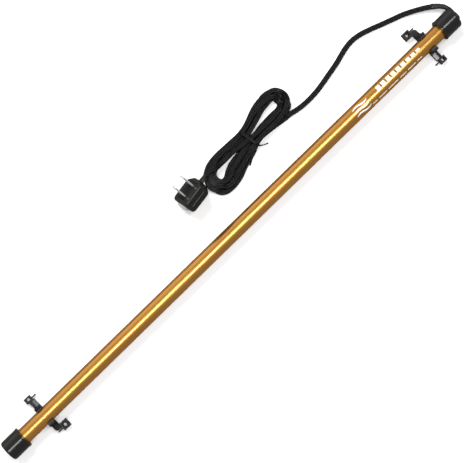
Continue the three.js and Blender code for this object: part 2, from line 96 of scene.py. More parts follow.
def addMath(tree, kind, *values, clamp=False):
    node = tree.nodes.new("ShaderNodeMath")
    node.operation = kind
    node.use_clamp = clamp
    for socket, value in zip(node.inputs, values):
        if isinstance(value, (int, float)):
            socket.default_value = value
        else:
            tree.links.new(value, socket)
    return node.outputs[0]


def addNoise(tree, vector, scale, detail, roughness=0.55):
    node = tree.nodes.new("ShaderNodeTexNoise")
    node.inputs["Detail"].default_value = detail
    node.inputs["Roughness"].default_value = roughness
    tree.links.new(vector, node.inputs["Vector"])
    if isinstance(scale, (int, float)):
        node.inputs["Scale"].default_value = scale
    else:
        tree.links.new(scale, node.inputs["Scale"])
    return node.outputs["Fac"]


# Moulded or cast grain: large soft blotches with fine pits over them.
def makeGrainGroup():
    tree, given, result = startGroup(
        "surfaceGrain",
        {"Scale": 900.0, "Pits": 0.5},
        {"Mask": "NodeSocketFloat", "Height": "NodeSocketFloat"},
    )
    place = tree.nodes.new("ShaderNodeTexCoord").outputs["Object"]
    blotches = addMath(tree, "MULTIPLY", given.outputs["Scale"], effectSetup["blotchScale"])
    soft = addNoise(tree, place, blotches, 3)
    fine = addNoise(tree, place, given.outputs["Scale"], 4, effectSetup["pitRoughness"])
    pits = addMath(tree, "POWER", fine, effectSetup["pitSharpness"])
    share = addMath(tree, "MULTIPLY", pits, given.outputs["Pits"])
    tree.links.new(soft, result.inputs["Mask"])
    tree.links.new(addMath(tree, "SUBTRACT", soft, share), result.inputs["Height"])
    return tree


# Lines drawn along the tube, as drawing or brushing leaves them.
def makeLineGroup():
    tree, given, result = startGroup(
        "drawnLines",
        {"Along": 18.0, "Across": 5200.0, "Contrast": 1.6},
        {"Mask": "NodeSocketFloat", "Height": "NodeSocketFloat"},
    )
    place = tree.nodes.new("ShaderNodeTexCoord").outputs["Object"]
    split = tree.nodes.new("ShaderNodeSeparateXYZ")
    tree.links.new(place, split.inputs[0])
    joined = tree.nodes.new("ShaderNodeCombineXYZ")
    factors = (given.outputs["Along"], given.outputs["Across"], given.outputs["Across"])
    for axis, factor in zip("XYZ", factors):
        tree.links.new(addMath(tree, "MULTIPLY", split.outputs[axis], factor), joined.inputs[axis])
    raw = addNoise(tree, joined.outputs[0], 1.0, 3)
    centred = addMath(tree, "SUBTRACT", raw, 0.5)
    spread = addMath(tree, "MULTIPLY", centred, given.outputs["Contrast"])
    mask = addMath(tree, "ADD", spread, 0.5, clamp=True)
    tree.links.new(mask, result.inputs["Mask"])
    tree.links.new(mask, result.inputs["Height"])
    return tree


# Edges that handling has rubbed: bright where the surface is convex, broken up by grain.
def makeWearGroup():
    tree, given, result = startGroup(
        "edgeWear",
        {"Start": 0.52, "Width": 0.12, "Break": 420.0},
        {"Mask": "NodeSocketFloat"},
    )
    convex = tree.nodes.new("ShaderNodeNewGeometry").outputs["Pointiness"]
    place = tree.nodes.new("ShaderNodeTexCoord").outputs["Object"]
    rise = addMath(tree, "SUBTRACT", convex, given.outputs["Start"])
    edge = addMath(tree, "DIVIDE", rise, given.outputs["Width"], clamp=True)
    patches = addNoise(tree, place, given.outputs["Break"], 3)
    patches = addMath(tree, "MULTIPLY", patches, effectSetup["patchiness"], clamp=True)
    tree.links.new(addMath(tree, "MULTIPLY", edge, patches), result.inputs["Mask"])
    return tree


# Plaited threads round a sleeve or core, from two crossed sets of waves.
def makeWeaveGroup():
    tree, given, result = startGroup(
        "plaitedThreads",
        {"Scale": 620.0},
        {"Mask": "NodeSocketFloat", "Height": "NodeSocketFloat"},
    )
    place = tree.nodes.new("ShaderNodeTexCoord").outputs["Object"]
    sets = []
    for turn in (effectSetup["threadTurn"], -effectSetup["threadTurn"]):
        spin = tree.nodes.new("ShaderNodeMapping")
        spin.inputs["Rotation"].default_value = (turn, 0.0, turn)
        tree.links.new(place, spin.inputs["Vector"])
        wave = tree.nodes.new("ShaderNodeTexWave")
        wave.inputs["Distortion"].default_value = effectSetup["threadWobble"]
        tree.links.new(spin.outputs[0], wave.inputs["Vector"])
        tree.links.new(given.outputs["Scale"], wave.inputs["Scale"])
        sets.append(wave.outputs["Fac"])
    crossed = addMath(tree, "MAXIMUM", sets[0], sets[1])
    tree.links.new(crossed, result.inputs["Mask"])
    tree.links.new(crossed, result.inputs["Height"])
    return tree


effects = {
    "grain": makeGrainGroup(),
    "lines": makeLineGroup(),
    "wear": makeWearGroup(),
    "weave": makeWeaveGroup(),
}

# Finishes
# base and tint are mixed by the grain, or by lines or a weave where there is one.
# worn shows on rubbed edges, and rim tints the reflection at a shallow angle.
finishes = {
    "goldTube": {
        "base": (0.84, 0.405, 0.085), "tint": (0.74, 0.345, 0.068), "worn": (0.92, 0.64, 0.30),
        "metallic": 1.0, "rim": (0.62, 0.46, 0.28), "coat": 0.4, "roughness": 0.31, "spread": 0.05,
        "grain": 260.0, "pits": 0.15, "bump": 0.035, "wear": 0.25, "lines": (14.0, 5200.0, 1.5),
    },
    "capPlastic": {
        "base": (0.0035, 0.004, 0.0036), "tint": (0.0075, 0.008, 0.0075), "worn": (0.035, 0.036, 0.035),
        "metallic": 0.0, "specular": 0.48, "roughness": 0.20, "spread": 0.04, "grain": 1500.0, "pits": 0.6,
        "bump": 0.06, "wear": 0.35,
    },
    "bracketPlastic": {
        "base": (0.0045, 0.0045, 0.0048), "tint": (0.009, 0.009, 0.0095), "worn": (0.05, 0.05, 0.05),
        "metallic": 0.0, "specular": 0.11, "roughness": 0.46, "spread": 0.08, "grain": 1900.0, "pits": 0.7,
        "bump": 0.10, "wear": 0.5,
    },
    "cableSheath": {
        "base": (0.0022, 0.0022, 0.0024), "tint": (0.0045, 0.0045, 0.0047), "worn": (0.014, 0.014, 0.014),
        "metallic": 0.0, "specular": 0.14, "roughness": 0.20, "spread": 0.05, "grain": 1100.0, "pits": 0.5,
        "bump": 0.06, "wear": 0.3,
    },
    "tiePlastic": {
        "base": (0.0035, 0.0035, 0.0035), "tint": (0.007, 0.007, 0.007), "worn": (0.025, 0.025, 0.025),
        "metallic": 0.0, "specular": 0.06, "roughness": 0.34, "spread": 0.08, "grain": 2400.0, "pits": 0.4,
        "bump": 0.08, "wear": 0.4,
    },
    # painted highlight: a light grey that stands in for the highlight on the plug's glossy end and on the lit
    # pad of the cord end bracket
    "paintedHighlightGrey": {
        "base": (0.42, 0.42, 0.425), "tint": (0.33, 0.33, 0.335), "worn": (0.52, 0.52, 0.52),
        "metallic": 0.0, "roughness": 0.78, "spread": 0.10, "grain": 2600.0, "pits": 1.0,
        "bump": 0.35, "wear": 0.2,
    },
    # painted lit side and painted shade: this finish and the next are lit and shaded copies of one pad
    # material
    "greyPad": {
        "base": (0.115, 0.112, 0.112), "tint": (0.080, 0.078, 0.078), "worn": (0.18, 0.18, 0.18),
        "metallic": 0.0, "specular": 0.2, "roughness": 0.74, "spread": 0.10, "grain": 2600.0, "pits": 1.0,
        "bump": 0.35, "wear": 0.2,
    },
    "paintedShadePadBlack": {
        "base": (0.012, 0.012, 0.0125), "tint": (0.020, 0.020, 0.020), "worn": (0.06, 0.06, 0.06),
        "metallic": 0.0, "specular": 0.15, "roughness": 0.74, "spread": 0.10, "grain": 2600.0, "pits": 1.0,
        "bump": 0.35, "wear": 0.2,
    },
    "gripLiner": {
        "base": (0.036, 0.037, 0.039), "tint": (0.055, 0.056, 0.058), "worn": (0.10, 0.10, 0.10),
        "metallic": 0.0, "roughness": 0.60, "spread": 0.10, "grain": 1800.0, "pits": 0.8,
        "bump": 0.18, "wear": 0.2,
    },
    "sealRubber": {
        "base": (0.26, 0.055, 0.028), "tint": (0.20, 0.042, 0.022), "worn": (0.34, 0.12, 0.08),
        "metallic": 0.0, "roughness": 0.72, "spread": 0.10, "grain": 1600.0, "pits": 0.8,
        "bump": 0.22, "wear": 0.2,
    },
    "ringRubber": {
        "base": (0.012, 0.012, 0.012), "tint": (0.022, 0.022, 0.022), "worn": (0.05, 0.05, 0.05),
        "metallic": 0.0, "roughness": 0.50, "spread": 0.08, "grain": 1800.0, "pits": 0.5,
        "bump": 0.12, "wear": 0.2,
    },
    "nickel": {
        "base": (0.78, 0.78, 0.77), "tint": (0.68, 0.675, 0.66), "worn": (0.86, 0.86, 0.84),
        "metallic": 0.75, "roughness": 0.36, "spread": 0.10, "grain": 700.0, "pits": 0.3,
        "bump": 0.05, "wear": 0.4, "lines": (900.0, 3600.0, 1.3),
    },
    "glassFibre": {
        "base": (0.70, 0.66, 0.54), "tint": (0.58, 0.53, 0.41), "worn": (0.80, 0.78, 0.70),
        "metallic": 0.0, "roughness": 0.85, "spread": 0.08, "grain": 1400.0, "pits": 0.6,
        "bump": 0.55, "wear": 0.1, "weave": 620.0,
    },
    "resistanceWire": {
        "base": (0.20, 0.185, 0.16), "tint": (0.145, 0.13, 0.11), "worn": (0.32, 0.30, 0.27),
        "metallic": 1.0, "roughness": 0.46, "spread": 0.10, "grain": 1200.0, "pits": 0.6,
        "bump": 0.12, "wear": 0.2,
    },
    "copper": {
        "base": (0.70, 0.32, 0.17), "tint": (0.56, 0.25, 0.13), "worn": (0.84, 0.47, 0.30),
        "metallic": 1.0, "roughness": 0.34, "spread": 0.10, "grain": 900.0, "pits": 0.4,
        "bump": 0.10, "wear": 0.2, "weave": 900.0,
    },
    "whitePrint": {
        "base": (0.86, 0.84, 0.79), "tint": (0.80, 0.77, 0.70), "worn": (0.90, 0.88, 0.84),
        "metallic": 0.0, "roughness": 0.52, "spread": 0.08, "grain": 2200.0, "pits": 0.7,
        "bump": 0.10, "wear": 0.1,
    },
}

shading = {
    "coatRoughness": 0.22,
    "lineMix": (0.2, 0.6),      # least tint, and how much more the drawn lines add
    "bumpDepth": 0.0004,
}


def placeGroup(tree, key, values):
    node = tree.nodes.new("ShaderNodeGroup")
    node.node_tree = effects[key]
    for label, value in values.items():
        node.inputs[label].default_value = value
    return node


def mixColours(tree, factor, first, second):
    node = tree.nodes.new("ShaderNodeMix")
    node.data_type = "RGBA"
    tree.links.new(factor, node.inputs["Factor"])
    # of the node's many sockets, these are the colour ones
    for socket, value in ((node.inputs[6], first), (node.inputs[7], second)):
        if isinstance(value, tuple):
            socket.default_value = (*value, 1.0)
        else:
            tree.links.new(value, socket)
    return node.outputs[2]


def makeMaterial(name, finish):
    material = bpy.data.materials.new(name)
    material.use_nodes = True
    tree = material.node_tree
    shader = tree.nodes["Principled BSDF"]
    shader.inputs["Metallic"].default_value = finish["metallic"]
    shader.inputs["Specular IOR Level"].default_value = finish.get("specular", 0.5)
    shader.inputs["Coat Weight"].default_value = finish.get("coat", 0.0)
    shader.inputs["Coat Roughness"].default_value = shading["coatRoughness"]
    shader.inputs["Specular Tint"].default_value = (*finish.get("rim", (1.0, 1.0, 1.0)), 1.0)
    grain = placeGroup(tree, "grain", {"Scale": finish["grain"], "Pits": finish["pits"]})
    wear = placeGroup(tree, "wear", {})
    mask, height = grain.outputs["Mask"], grain.outputs["Height"]
    if "lines" in finish:
        along, across, contrast = finish["lines"]
        lines = placeGroup(tree, "lines", {"Along": along, "Across": across, "Contrast": contrast})
        least, more = shading["lineMix"]
        mask = addMath(tree, "MULTIPLY_ADD", lines.outputs["Mask"], more, least)
        height = lines.outputs["Height"]
    if "weave" in finish:
        weave = placeGroup(tree, "weave", {"Scale": finish["weave"]})
        mask, height = weave.outputs["Mask"], weave.outputs["Height"]
    body = mixColours(tree, mask, finish["base"], finish["tint"])
    rubbed = addMath(tree, "MULTIPLY", wear.outputs["Mask"], finish["wear"])
    tree.links.new(mixColours(tree, rubbed, body, finish["worn"]), shader.inputs["Base Color"])
    swing, smoothest = 2 * finish["spread"], finish["roughness"] - finish["spread"]
    rough = addMath(tree, "MULTIPLY_ADD", grain.outputs["Mask"], swing, smoothest)
    tree.links.new(rough, shader.inputs["Roughness"])
    bump = tree.nodes.new("ShaderNodeBump")
    bump.inputs["Strength"].default_value = finish["bump"]
    bump.inputs["Distance"].default_value = shading["bumpDepth"]
    tree.links.new(height, bump.inputs["Height"])
    tree.links.new(bump.outputs["Normal"], shader.inputs["Normal"])
    return material


materials = {name: makeMaterial(name, finish) for name, finish in finishes.items()}
print("materials ready:", len(materials))

# Mesh helpers
crease = 35                     # degrees; edges sharper than this stay sharp
refining = {
    "merge": 2e-6,
    "flat": 1.5,                # degrees; facets that turn less than this become one face
    "crease": 30,
    "roundedFrom": 32,
}


def finishMesh(mesh, sharpAngle=crease):
    work = bmesh.new()
    work.from_mesh(mesh)
    bmesh.ops.recalc_face_normals(work, faces=work.faces)
    work.to_mesh(mesh)
    work.free()
    mesh.polygons.foreach_set("use_smooth", [True] * len(mesh.polygons))
    mesh.set_sharp_from_angle(angle=math.radians(sharpAngle))
    mesh.update()
    return mesh


def meshOf(name, points, faces, sharpAngle=crease):
    mesh = bpy.data.meshes.new(name)
    mesh.from_pydata([tuple(p) for p in points], [], faces)
    return finishMesh(mesh, sharpAngle)


# Several meshes joined as one.
def joinMeshes(name, parts, sharpAngle=40):
    work = bmesh.new()
    for part in parts:
        work.from_mesh(part)
    mesh = bpy.data.meshes.new(name)
    work.to_mesh(mesh)
    work.free()
    return finishMesh(mesh, sharpAngle)


def addPiece(name, mesh, material, body, slot=None, *stoodFor):
    piece = bpy.data.objects.new(name, mesh)
    bpy.context.scene.collection.objects.link(piece)
    mesh.materials.clear()
    mesh.materials.append(materials[material])
    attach(piece, body)
    if stoodFor:
        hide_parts(*stoodFor)
    return piece


# Rings of equal length joined in order; the first and last are filled unless the rings close on themselves.
def loft(name, rings, closed=False, sharpAngle=crease):
    count = len(rings[0])
    points = [p for ring in rings for p in ring]
    faces = []
    spans = len(rings) if closed else len(rings) - 1
    for row in range(spans):
        here = row * count
        there = (row + 1) % len(rings) * count
        for k in range(count):
            after = (k + 1) % count
            faces.append((here + k, here + after, there + after, there + k))
    if not closed:
        last = (len(rings) - 1) * count
        faces.append(tuple(range(count)))
        faces.append(tuple(range(last, last + count)))
    return meshOf(name, points, faces, sharpAngle)


# A turned piece about the tube's axis, from an outline of (distance along X, radius) in millimetres.
def turnedMesh(name, outline, segments=96):
    rings = []
    for x, radius in outline:
        reach = radius * mm
        rings.append([(x * mm, reach * math.cos(t), axisHeight + reach * math.sin(t))
                      for t in around(segments)])
    return loft(name, rings, closed=True)


# count angles spread evenly round a circle.
def around(count):
    return [2 * math.pi * k / count for k in range(count)]


# Points of an arc about (x, y), from one angle to another in degrees.
def arc(x, y, radius, start, end, steps=6):
    turns = [math.radians(start + (end - start) * k / steps) for k in range(steps + 1)]
    return [(x + radius * math.cos(t), y + radius * math.sin(t)) for t in turns]


# A smooth line through points, sampled about step apart.
def smoothLine(points, step, between=12):
    p = np.array(points, float)
    p = np.vstack([2 * p[0] - p[1], p, 2 * p[-1] - p[-2]])
    dense = []
    for a, b, c, d in zip(p, p[1:], p[2:], p[3:]):
        t = np.linspace(0, 1, between, endpoint=False)[:, None]
        dense.append(0.5 * (2 * b + (c - a) * t + (2 * a - 5 * b + 4 * c - d) * t ** 2
                            + (3 * b - 3 * c + d - a) * t ** 3))
    return spaced(np.vstack([*dense, p[-2:-1]]), step)


# Points of a line at the distances along it that choose works out from its whole length.
def resample(line, choose):
    along = np.concatenate([[0], np.cumsum(np.linalg.norm(np.diff(line, axis=0), axis=1))])
    at = choose(along[-1])
    return np.stack([np.interp(at, along, line[:, k]) for k in range(line.shape[1])], axis=1)


# Points about step apart, with both ends kept.
def spaced(line, step):
    return resample(line, lambda whole: np.linspace(0, whole, max(2, int(round(whole / step)) + 1)))


# A closed outline as count points, evenly spaced from its first point on.
def evenLoop(points, count=96):
    loop = np.array(points + points[:1])
    return resample(loop, lambda whole: np.linspace(0, whole, count, endpoint=False))


# For each point of a line: the direction across it, square to upright, and the one out of its flat side.
def lineFrames(line, upright):
    ahead = np.gradient(line, axis=0)
    ahead /= np.linalg.norm(ahead, axis=1)[:, None]
    across = np.cross(np.array(upright, float), ahead)
    across /= np.linalg.norm(across, axis=1)[:, None]
    return across, np.cross(ahead, across)


# Sections given as (across, out) points, laid along a line.
def sweepMesh(name, line, sections, upright=(0, 0, 1), rolls=None, sharpAngle=40):
    across, out = lineFrames(line, upright)
    rings = []
    for k, centre in enumerate(line):
        roll = 0.0 if rolls is None else rolls[k]
        side = across[k] * math.cos(roll) + out[k] * math.sin(roll)
        top = out[k] * math.cos(roll) - across[k] * math.sin(roll)
        section = sections(k) if callable(sections) else sections
        rings.append([tuple(centre + side * a + top * b) for a, b in section])
    return loft(name, rings, sharpAngle=sharpAngle)


# A copy of a CAD node's mesh with its flat faces whole, its edges rounded and its curves shaded smooth.
def refine(node, name, width, material, body, slot, segments=3):
    mesh = nodes[node].data.copy()
    mesh.name = name
    work = bmesh.new()
    work.from_mesh(mesh)
    bmesh.ops.remove_doubles(work, verts=work.verts, dist=refining["merge"])
    flat = math.radians(refining["flat"])
    bmesh.ops.dissolve_limit(work, angle_limit=flat, verts=work.verts, edges=work.edges)
    work.to_mesh(mesh)
    work.free()
    finishMesh(mesh, refining["crease"])
    piece = addPiece(name, mesh, material, body, slot, node)
    rounding = piece.modifiers.new("roundedEdges", "BEVEL")
    rounding.width = width
    rounding.segments = segments
    rounding.limit_method = "ANGLE"
    rounding.angle_limit = math.radians(refining["roundedFrom"])
    rounding.harden_normals = True
    return piece


# The cord
cord = {
    "width": 5.4,           # twin-core flat lead
    "thickness": 2.8,
    "coreSpacing": 2.6,
    "web": 1.9,             # thickness in the groove between the cores
    "across": (2.7, 2.62, 2.4, 2.05, 1.65, 1.3, 0.95, 0.6, 0.3, 0.0),     # half the section's points
    "routeSpacing": 3.0,
    "ringSpacing": 2.2,
}

leadRoute = [
    (298.1, 22.5, 5.9), (291.4, 27.2, 4.5), (282.7, 32.2, 2.9), (272, 37.4, 1.9), (260.2, 41.6, 1.6),
    (249.2, 45.4, 1.6), (236.6, 50, 1.6), (224.4, 53.4, 1.6), (213.4, 54.2, 1.6), (202, 52.2, 1.6),
    (190, 48.9, 1.6), (173.5, 45.6, 1.6), (156.5, 42.6, 1.6), (140.5, 41.8, 1.6), (127, 43.2, 1.6),
]
tailRoute = [(19.2, 60.1, 7.6), (18.5, 59.8, 8.0), (17.2, 59.2, 8.7)]

# The hank, drawn about its waist: u along it, v across it.
# Each place holds the outermost and the innermost turn.
hank = {
    "waist": (73.0, 56.0),
    "heading": 10.0,
    "tieLift": 1.2,             # the turns ride over the tie at the waist
    "tieReach": 11.0,           # how far along u they do
    "clearance": 0.1,           # above the floor
    "entry": (41, -17.6, 0),    # (u, v, layer) where the lead comes in
    "places": [
        ((26, -12.2), (26, -6.6)), ((12, -9.6), (12, -4.0)), ((0, -8.2), (0, -2.8)),
        ((-12, -9.4), (-12, -2.8)), ((-24, -12.8), (-24, -2.2)), ((-35, -15.6), (-34, -2.4)),
        ((-44, -16.2), (-42, -4.4)), ((-52.2, -14.3), (-50, -5.1)), ((-58.5, -8.0), (-52.7, -2.3)),
        ((-60.2, 0.5), (-53.5, 1.6)), ((-57.1, 8.6), (-52, 5.3)), ((-50.7, 13.4), (-49.1, 7.5)),
        ((-42, 14.7), (-42, 7.9)), ((-32, 13.8), (-32, 7.2)), ((-20, 11.6), (-20, 5.8)),
        ((-9, 9.4), (-9, 3.8)), ((0, 8.2), (0, 2.8)), ((12, 9.0), (12, 3.5)),
        ((26, 11.0), (26, 5.4)), ((38, 11.9), (36, 6.5)), ((52.2, 9.3), (46.6, 5.4)),
        ((56.7, 3.7), (49.2, 2.0)), ((57.4, -3.2), (49.7, -2.1)), ((54.4, -9.4), (47.8, -5.9)),
        ((49.3, -12.8), (44.8, -7.9)), ((38, -13.4), (36, -7.9)),
    ],
    # for each turn: place -> (0 outermost to 1 innermost, layer), straight in between
    "turns": [
        {0: (0.0, 0), 23: (0.0, 0), 24: (0.3, 0), 25: (0.75, 0)},
        {0: (1.0, 0), 21: (1.0, 0), 22: (1.0, 0.3), 23: (1.0, 0.8), 24: (1.0, 1), 25: (1.0, 1)},
        {0: (1.0, 1), 3: (1.0, 1), 4: (0.9, 1), 5: (0.78, 1), 6: (0.9, 1), 7: (1.0, 1), 20: (1.0, 1),
         21: (0.6, 1), 22: (0.2, 1), 23: (0.0, 1), 25: (0.0, 1)},
        {0: (0.0, 1), 3: (0.0, 1), 4: (0.35, 0.6), 5: (0.5, 0), 6: (0.45, 0.1), 7: (0.3, 0.7),
         8: (0.0, 1), 19: (0.0, 1), 20: (0.0, 1.4), 21: (0.0, 2), 25: (0.0, 2)},
        {0: (0.0, 2), 3: (0.0, 2), 4: (0.12, 1.6), 5: (0.24, 1), 6: (0.24, 1.1), 7: (0.35, 1.6),
         8: (0.5, 1.7), 10: (0.5, 1.5), 11: (0.4, 1.6), 12: (0.15, 1.9), 13: (0.0, 2), 18: (0.0, 2),
         19: (0.4, 2), 20: (0.9, 2), 21: (1.0, 2), 25: (1.0, 2)},
    ],
    # the last pass, over the waist and down to the plug: (u, v, layer)
    "lastPass": [
        (26, -6.6, 2), (12, -4.0, 2), (0, -2.6, 2.2), (-9, 1.4, 2.3), (-18, 4.9, 2.1), (-28, 6.6, 2),
        (-36, 7.3, 2.1), (-42, 8.7, 2.8), (-47, 11.2, 2.9),
    ],
}

settling = {
    "rounds": 160,
    "overlap": 0.1,             # how far neighbours may press into each other's width
    "neighbours": 5,            # points along the cord that may lie close to a point
    "push": 0.35,
    "largestPush": 0.5,
    "hold": 0.03,               # pull back to the route as drawn
    "sink": 0.03,
    "smoothing": 0.12,
    "fixedAtStart": 60,
    "easedAtStart": 10,
    "fixedAtEnd": 6,
    "foldSteps": 6,
    "foldChord": 14.2,          # least distance between points foldSteps apart
    "foldPush": 0.25,
    "lengthRounds": 2,
}


def hankPoint(u, v, layer):
    turn = math.radians(hank["heading"])
    x = hank["waist"][0] + u * math.cos(turn) - v * math.sin(turn)
    y = hank["waist"][1] + u * math.sin(turn) + v * math.cos(turn)
    lift = hank["tieLift"] * max(0.0, 1 - abs(u) / hank["tieReach"])
    return (x, y, cord["thickness"] * (0.5 + layer) + lift + hank["clearance"])


def cordRoute():
    route = leadRoute + [hankPoint(*hank["entry"])]
    for number, turn in enumerate(hank["turns"]):
        known = sorted(turn)
        for place, (outer, inner) in enumerate(hank["places"]):
            share = np.interp(place, known, [turn[k][0] for k in known])
            layer = np.interp(place, known, [turn[k][1] for k in known])
            u = outer[0] + (inner[0] - outer[0]) * share
            v = outer[1] + (inner[1] - outer[1]) * share
            route.append(hankPoint(u, v, layer))
    route += [hankPoint(*point) for point in hank["lastPass"]]
    return route + tailRoute


# Lets the turns of the hank come to rest on each other: points that overlap move apart, and all of them sink.
def settle(line, setup):
    count, fold, ends = len(line), setup["foldSteps"], setup["fixedAtEnd"]
    number = np.arange(count)
    apart = np.abs(number[:, None] - number[None, :]) > setup["neighbours"]
    gap = np.linalg.norm(np.diff(line, axis=0), axis=1)[:, None]
    wide = cord["width"] - setup["overlap"]
    size = np.array([wide, wide, cord["thickness"]])
    fixed, eased = setup["fixedAtStart"], setup["easedAtStart"]
    held = np.ones(count)           # 0 where a point stays, 1 where it is free to move
    held[:fixed] = 0.0
    held[fixed:fixed + eased] = np.linspace(0, 1, eased)
    held[-ends:] = 0.0
    p = line.copy()
    for _ in range(setup["rounds"]):
        scaled = (p[:, None] - p[None, :]) / size
        far = np.sqrt((scaled ** 2).sum(2)) + 1e-9
        close = np.where(apart & (far < 1), (1 - far) / far, 0.0)
        push = (scaled * close[:, :, None]).sum(1) * size * setup["push"]
        push = np.clip(push, -setup["largestPush"], setup["largestPush"])
        move = push + setup["hold"] * (line - p) * np.array([1, 1, 0])
        move[:, 2] -= setup["sink"]
        move[1:-1] += setup["smoothing"] * ((p[:-2] + p[2:]) / 2 - p[1:-1])
        p = p + move * held[:, None]
        # where it bends too tightly, the points on each side of the bend spread
        chord = p[fold:] - p[:-fold]
        long = np.linalg.norm(chord, axis=1)[:, None]
        spread = chord * np.maximum(0.0, setup["foldChord"] / long - 1) * setup["foldPush"]
        p[fold:] += spread * held[fold:, None]
        p[:-fold] -= spread * held[:-fold, None]
        p[:, 2] = np.maximum(p[:, 2], cord["thickness"] / 2 + hank["clearance"])
        for _ in range(setup["lengthRounds"]):
            span = np.diff(p, axis=0)
            long = np.linalg.norm(span, axis=1)[:, None]
            fix = span * (1 - gap / long) * 0.5
            p[:-1] += fix * held[:-1, None]
            p[1:] -= fix * held[1:, None]
    return p


def sheathSection(setup):
    core = setup["thickness"] / 2
    centre = setup["coreSpacing"] / 2
    top = []
    for a in setup["across"]:
        rise = math.sqrt(max(0.0, 1 - ((a - centre) / core) ** 2)) * core
        top.append((a, max(rise, setup["web"] / 2 if a < centre else 0.0)))
    upper = top + [(-a, b) for a, b in reversed(top[:-1])]
    lower = [(a, -b) for a, b in reversed(upper[1:-1])]
    return [(a * mm, b * mm) for a, b in upper + lower]


def makeCord():
    step = cord["routeSpacing"]
    settled = settle(spaced(smoothLine(cordRoute(), step), step), settling)
    guides = settled[::2]
    if len(settled) % 2 == 0:
        guides = np.vstack([guides, settled[-1:]])
    line = smoothLine(guides, cord["ringSpacing"]) * mm
    mesh = sweepMesh("leadSheath", line, sheathSection(cord))
    lead = addPiece("power_lead", mesh, "cableSheath", "heater", "black_cable",
                    "cord_lead", "cord_hank", "cord_tail")
    total = float(np.linalg.norm(np.diff(line, axis=0), axis=1).sum())
    print("cord route:", len(line), "rings,", round(total, 3), "m")
    return lead, line, total


powerLead, cordLine, cordLength = makeCord()
print("cord ready")

# The tube and its caps
tube = {
    "endX": 301.7,
    "radius": 8.0,
    "bore": 7.1,
    "edge": 0.25,           # rounding of the cut ends
}

cap = {
    "end": 305.0,
    "mouth": 284.0,
    "floor": 302.0,
    "radius": 10.75,
    "lip": 11.15,
    "lipLength": 1.4,
    "bore": 8.3,
    "edge": 2.4,
    "hole": 3.2,            # for the cord; the closed end has none
    "boreEdge": 0.3,
    "lipEdge": 0.35,
    "lipBack": 0.3,
    "lipSlope": [(0.45, 0.02), (0.9, 0.0)],     # (past the lip, below the radius)
    "endRing": [(0.0, 7.2), (0.25, 7.0), (0.25, 6.5), (0.0, 6.3)],     # (depth, radius), in the end face
}


def tubeOutline(setup):
    end, outer, inner, edge = setup["endX"], setup["radius"], setup["bore"], setup["edge"]
    right = arc(end - edge, outer - edge, edge, 90, 0, 3) + arc(end - edge, inner + edge, edge, 0, -90, 3)
    left = arc(edge - end, inner + edge, edge, 270, 180, 3) + arc(edge - end, outer - edge, edge, 180, 90, 3)
    return left + right


def capOutline(setup, hole):
    end, mouth, bore, outer, lip = (setup[key] for key in ("end", "mouth", "bore", "radius", "lip"))
    boreEdge, lipEdge, lipBack, edge = (setup[key] for key in ("boreEdge", "lipEdge", "lipBack", "edge"))
    lipEnd = mouth + setup["lipLength"]
    outline = [(setup["floor"], hole), (setup["floor"], bore)]
    outline += arc(mouth + boreEdge, bore + boreEdge, boreEdge, 270, 180, 3)
    outline += arc(mouth + lipEdge, lip - lipEdge, lipEdge, 180, 90, 4)
    outline += arc(lipEnd - lipBack, lip - lipBack, lipBack, 90, 45, 2)
    outline += [(lipEnd + past, outer - below) for past, below in setup["lipSlope"]]
    outline += arc(end - edge, outer - edge, edge, 90, 0, 8)
    outline += [(end - depth, radius) for depth, radius in setup["endRing"]]
    return outline + [(end, hole)]


def makeRod():
    mesh = turnedMesh("tubeMesh", tubeOutline(tube))
    addPiece("tube", mesh, "goldTube", "heater", "gold_tube", "outer_tube")
    mesh = turnedMesh("cordEndCapMesh", capOutline(cap, cap["hole"]))
    addPiece("cord_end_cap_shell", mesh, "capPlastic", "heater", "black_plastic", "cord_end_cap")
    almostClosed = 0.02     # a ring can't shrink to one point
    mirrored = [(-x, radius) for x, radius in capOutline(cap, almostClosed)]
    mesh = turnedMesh("closedEndCapMesh", mirrored)
    addPiece("closed_end_cap_shell", mesh, "capPlastic", "heater", "black_plastic", "closed_end_cap")


makeRod()
print("tube and caps ready")

# The print on the tube
# Plain bars and heat waves. Angles are round the tube from its top, in degrees, + towards the hank.
tubePrint = {
    "radius": 8.04,
    "thickness": 0.03,
    "bars": [               # (from x, to x, from angle, to angle)
        (196.0, 200.6, -6, 36), (202.8, 207.4, -5, 35), (209.6, 214.2, -4, 34), (216.4, 221.0, -3, 33),
        (223.2, 227.8, -2, 32), (230.0, 234.6, 0, 30), (236.8, 241.4, 2, 28), (243.6, 248.2, 4, 26),
        (250.4, 255.0, 6, 24),
        (184.0, 190.0, -46, -40), (192.5, 203.0, -46, -40), (205.5, 219.0, -46, -40),
        (221.5, 230.0, -46, -40), (232.5, 243.0, -46, -40), (245.5, 252.0, -46, -40),
    ],
    "barStep": 4,           # degrees
    "waves": {"x": 173.0, "length": 19.0, "angles": (-32, -4, 24), "width": 12.0, "swing": 6.6,
              "thinEnds": 0.35, "steps": 24},
}


# A thin raised patch; edges holds pairs of (x, angle), one on each long side, in order.
def printPatch(points, faces, edges):
    radius, thickness = tubePrint["radius"], tubePrint["thickness"]
    rows = []
    for left, right in edges:
        for rise in (0.0, thickness):
            for x, angle in (left, right):
                turn = math.radians(angle)
                reach = (radius + rise) * mm
                rows.append((x * mm, reach * math.sin(turn), axisHeight + reach * math.cos(turn)))
    first = len(points)
    points += rows
    count = len(edges)
    for k in range(count - 1):
        a = first + 4 * k
        b = a + 4
        faces += [(a + 2, a + 3, b + 3, b + 2), (a, b, b + 1, a + 1),
                  (a, a + 2, b + 2, b), (a + 1, b + 1, b + 3, a + 3)]
    faces += [(first, first + 1, first + 3, first + 2)]
    last = first + 4 * (count - 1)
    faces += [(last, last + 2, last + 3, last + 1)]


